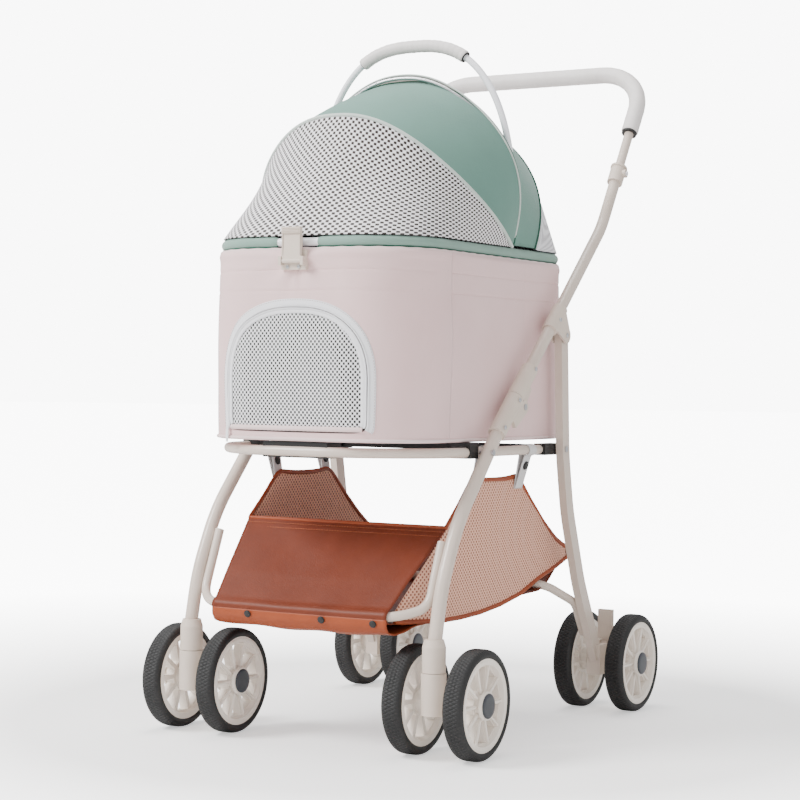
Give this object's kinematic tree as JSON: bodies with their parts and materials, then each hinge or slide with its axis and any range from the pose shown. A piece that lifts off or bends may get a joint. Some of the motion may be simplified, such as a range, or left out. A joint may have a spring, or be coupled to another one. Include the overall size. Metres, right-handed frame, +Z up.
{
  "type": "pet stroller",
  "caption": "Folding pet stroller: detachable fabric carrier with arched canopy, carry handle, basket and twin wheels.",
  "frame": {"origin": "on the floor under the middle of the stroller's bounding box", "axes": "+Z up, -Y towards the front, +X towards the stroller's left-hand side as its user pushes it"},
  "size_m": [0.529, 0.748, 1.0245],
  "materials": {
    "painted_tube": "satin powder coat",
    "plated_steel": "bright zinc plate",
    "cream_plastic": "moulded, matt",
    "black_plastic": "moulded, matt",
    "white_plastic": "moulded, satin",
    "tyre_rubber": "moulded tread",
    "black_rubber": "matt",
    "pink_fabric": "woven, over board",
    "sage_fabric": "woven",
    "green_piping": "bound edge",
    "white_mesh": "spacer mesh",
    "terracotta_leatherette": "grained",
    "webbing": "woven webbing",
    "grip_leather": "grained, stitched",
    "board": "pressed board"
  },
  "bodies": {
    "support_frame": {"support_ring": "painted_tube", "support_rivets": "plated_steel", "ring_rear_bracket": "black_plastic", "carrier_rests": "black_plastic", "basket": "terracotta_leatherette", "basket_straps": "webbing"},
    "carrier": {"carrier_shell": "pink_fabric", "floor_board": "board", "carrier_pad": "pink_fabric", "carrier_rim_tube": "plated_steel", "latch_base": "cream_plastic"},
    "door": {"front_door": "white_mesh"},
    "latch": {"latch_lever": "cream_plastic"},
    "lid": {"lid_ring": "green_piping", "canopy_bows_fixed": "plated_steel", "canopy_front_panel": "sage_fabric", "canopy_rear_panel": "sage_fabric", "rear_mesh": "white_mesh"},
    "canopy_front": {"canopy_bow_front": "plated_steel", "front_mesh": "white_mesh"},
    "carry_handle": {"carry_hoop": "white_plastic", "carry_grip": "grip_leather"},
    "front_frame": {"front_legs": "painted_tube", "front_crossbar": "painted_tube", "fold_hinge_lowers": "cream_plastic", "fold_hinge_pins": "plated_steel", "caster_sockets": "cream_plastic"},
    "handle_frame": {"handle_outer_tubes": "painted_tube", "fold_hinge_uppers": "cream_plastic", "rear_leg_fittings": "cream_plastic", "handle_collars": "cream_plastic"},
    "rear_frame": {"rear_legs": "painted_tube", "rear_crossbar": "painted_tube", "rear_axle_brackets": "cream_plastic", "rear_axles": "plated_steel"},
    "handle": {"handle_bar": "painted_tube", "handle_grip": "grip_leather", "grip_end_rings": "black_rubber"},
    "button_left": {"snap_button_left": "white_plastic"},
    "brake_left": {"brake_pedal_left": "cream_plastic"},
    "caster_left": {"caster_fork_left": "cream_plastic"},
    "button_right": {"snap_button_right": "white_plastic"},
    "brake_right": {"brake_pedal_right": "cream_plastic"},
    "caster_right": {"caster_fork_right": "cream_plastic"},
    "wheel_front_left_outer": {"tyre_front_left_outer": "tyre_rubber", "rim_front_left_outer": "cream_plastic"},
    "wheel_front_left_inner": {"tyre_front_left_inner": "tyre_rubber", "rim_front_left_inner": "cream_plastic"},
    "wheel_front_right_outer": {"tyre_front_right_outer": "tyre_rubber", "rim_front_right_outer": "cream_plastic"},
    "wheel_front_right_inner": {"tyre_front_right_inner": "tyre_rubber", "rim_front_right_inner": "cream_plastic"},
    "wheel_rear_left_outer": {"tyre_rear_left_outer": "tyre_rubber", "rim_rear_left_outer": "cream_plastic"},
    "wheel_rear_left_inner": {"tyre_rear_left_inner": "tyre_rubber", "rim_rear_left_inner": "cream_plastic"},
    "wheel_rear_right_outer": {"tyre_rear_right_outer": "tyre_rubber", "rim_rear_right_outer": "cream_plastic"},
    "wheel_rear_right_inner": {"tyre_rear_right_inner": "tyre_rubber", "rim_rear_right_inner": "cream_plastic"}
  },
  "joints": [
    {"name": "carrier_lift", "type": "slide", "parent": "support_frame", "child": "carrier", "axis": [0, 0, 1], "range_m": [0, 0.35]},
    {"name": "door_flap", "type": "hinge", "parent": "carrier", "child": "door", "pos_m": [0, -0.36055, 0.437], "axis": [1, 0, 0], "range_deg": [0, 95]},
    {"name": "latch_swing", "type": "hinge", "parent": "carrier", "child": "latch", "pos_m": [0, -0.37005, 0.668], "axis": [1, 0, 0], "range_deg": [0, 75]},
    {"name": "lid_open", "type": "hinge", "parent": "carrier", "child": "lid", "pos_m": [0, 0.14195, 0.686], "axis": [-1, 0, 0], "range_deg": [0, 45]},
    {"name": "canopy_fold", "type": "hinge", "parent": "lid", "child": "canopy_front", "pos_m": [0, -0.04805, 0.702], "axis": [-1, 0, 0], "range_deg": [0, 24], "deforming": ["front_mesh", "canopy_front_panel"]},
    {"name": "carry_handle_rock", "type": "hinge", "parent": "lid", "child": "carry_handle", "pos_m": [0, -0.03905, 0.702], "axis": [1, 0, 0], "range_deg": [-2.5, 2.5]},
    {"name": "frame_fold", "type": "hinge", "parent": "support_frame", "child": "front_frame", "pos_m": [0, -0.17505, 0.409], "axis": [1, 0, 0], "range_deg": [0, 50], "deforming": ["basket", "basket_straps"]},
    {"name": "fold_hinge_turn", "type": "hinge", "parent": "front_frame", "child": "handle_frame", "pos_m": [0, -0.08035, 0.4723], "axis": [1, 0, 0], "range_deg": [-73.3, 0]},
    {"name": "rear_leg_swing", "type": "hinge", "parent": "support_frame", "child": "rear_frame", "pos_m": [0, 0.06595, 0.409], "axis": [1, 0, 0], "range_deg": [0, 17.95]},
    {"name": "handle_telescope", "type": "slide", "parent": "handle_frame", "child": "handle", "axis": [0, 0.5373, 0.8434], "range_m": [-0.008, 0.05]},
    {"name": "snap_button_left_press", "type": "slide", "parent": "handle_frame", "child": "button_left", "axis": [-1, 0, 0], "range_m": [0, 0.0025], "stiffness_N_per_m": 200, "springref_m": -0.002},
    {"name": "brake_left_press", "type": "hinge", "parent": "rear_frame", "child": "brake_left", "pos_m": [0.2001, 0.23055, 0.101], "axis": [-1, 0, 0], "range_deg": [0, 30]},
    {"name": "caster_left_swivel", "type": "hinge", "parent": "front_frame", "child": "caster_left", "pos_m": [0.1989, -0.31505, 0.1], "axis": [0, 0, 1], "continuous": true},
    {"name": "snap_button_right_press", "type": "slide", "parent": "handle_frame", "child": "button_right", "axis": [1, 0, 0], "range_m": [0, 0.0025], "stiffness_N_per_m": 200, "springref_m": -0.002},
    {"name": "brake_right_press", "type": "hinge", "parent": "rear_frame", "child": "brake_right", "pos_m": [-0.2001, 0.23055, 0.101], "axis": [-1, 0, 0], "range_deg": [0, 30]},
    {"name": "caster_right_swivel", "type": "hinge", "parent": "front_frame", "child": "caster_right", "pos_m": [-0.1989, -0.31505, 0.1], "axis": [0, 0, 1], "continuous": true},
    {"name": "wheel_front_left_outer_roll", "type": "hinge", "parent": "caster_left", "child": "wheel_front_left_outer", "pos_m": [0.2455, -0.27905, 0.075], "axis": [1, 0, 0], "continuous": true},
    {"name": "wheel_front_left_inner_roll", "type": "hinge", "parent": "caster_left", "child": "wheel_front_left_inner", "pos_m": [0.1523, -0.27905, 0.075], "axis": [1, 0, 0], "continuous": true},
    {"name": "wheel_front_right_outer_roll", "type": "hinge", "parent": "caster_right", "child": "wheel_front_right_outer", "pos_m": [-0.2455, -0.27905, 0.075], "axis": [1, 0, 0], "continuous": true},
    {"name": "wheel_front_right_inner_roll", "type": "hinge", "parent": "caster_right", "child": "wheel_front_right_inner", "pos_m": [-0.1523, -0.27905, 0.075], "axis": [1, 0, 0], "continuous": true},
    {"name": "wheel_rear_left_outer_roll", "type": "hinge", "parent": "rear_frame", "child": "wheel_rear_left_outer", "pos_m": [0.2434, 0.23455, 0.075], "axis": [1, 0, 0], "continuous": true},
    {"name": "wheel_rear_left_inner_roll", "type": "hinge", "parent": "rear_frame", "child": "wheel_rear_left_inner", "pos_m": [0.1568, 0.23455, 0.075], "axis": [1, 0, 0], "continuous": true},
    {"name": "wheel_rear_right_outer_roll", "type": "hinge", "parent": "rear_frame", "child": "wheel_rear_right_outer", "pos_m": [-0.2434, 0.23455, 0.075], "axis": [1, 0, 0], "continuous": true},
    {"name": "wheel_rear_right_inner_roll", "type": "hinge", "parent": "rear_frame", "child": "wheel_rear_right_inner", "pos_m": [-0.1568, 0.23455, 0.075], "axis": [1, 0, 0], "continuous": true}
  ],
  "couplings": [
    {"joint": "fold_hinge_turn", "follows": "frame_fold", "ratio": -1.4639},
    {"joint": "rear_leg_swing", "follows": "frame_fold", "ratio": 0.3579}
  ]
}
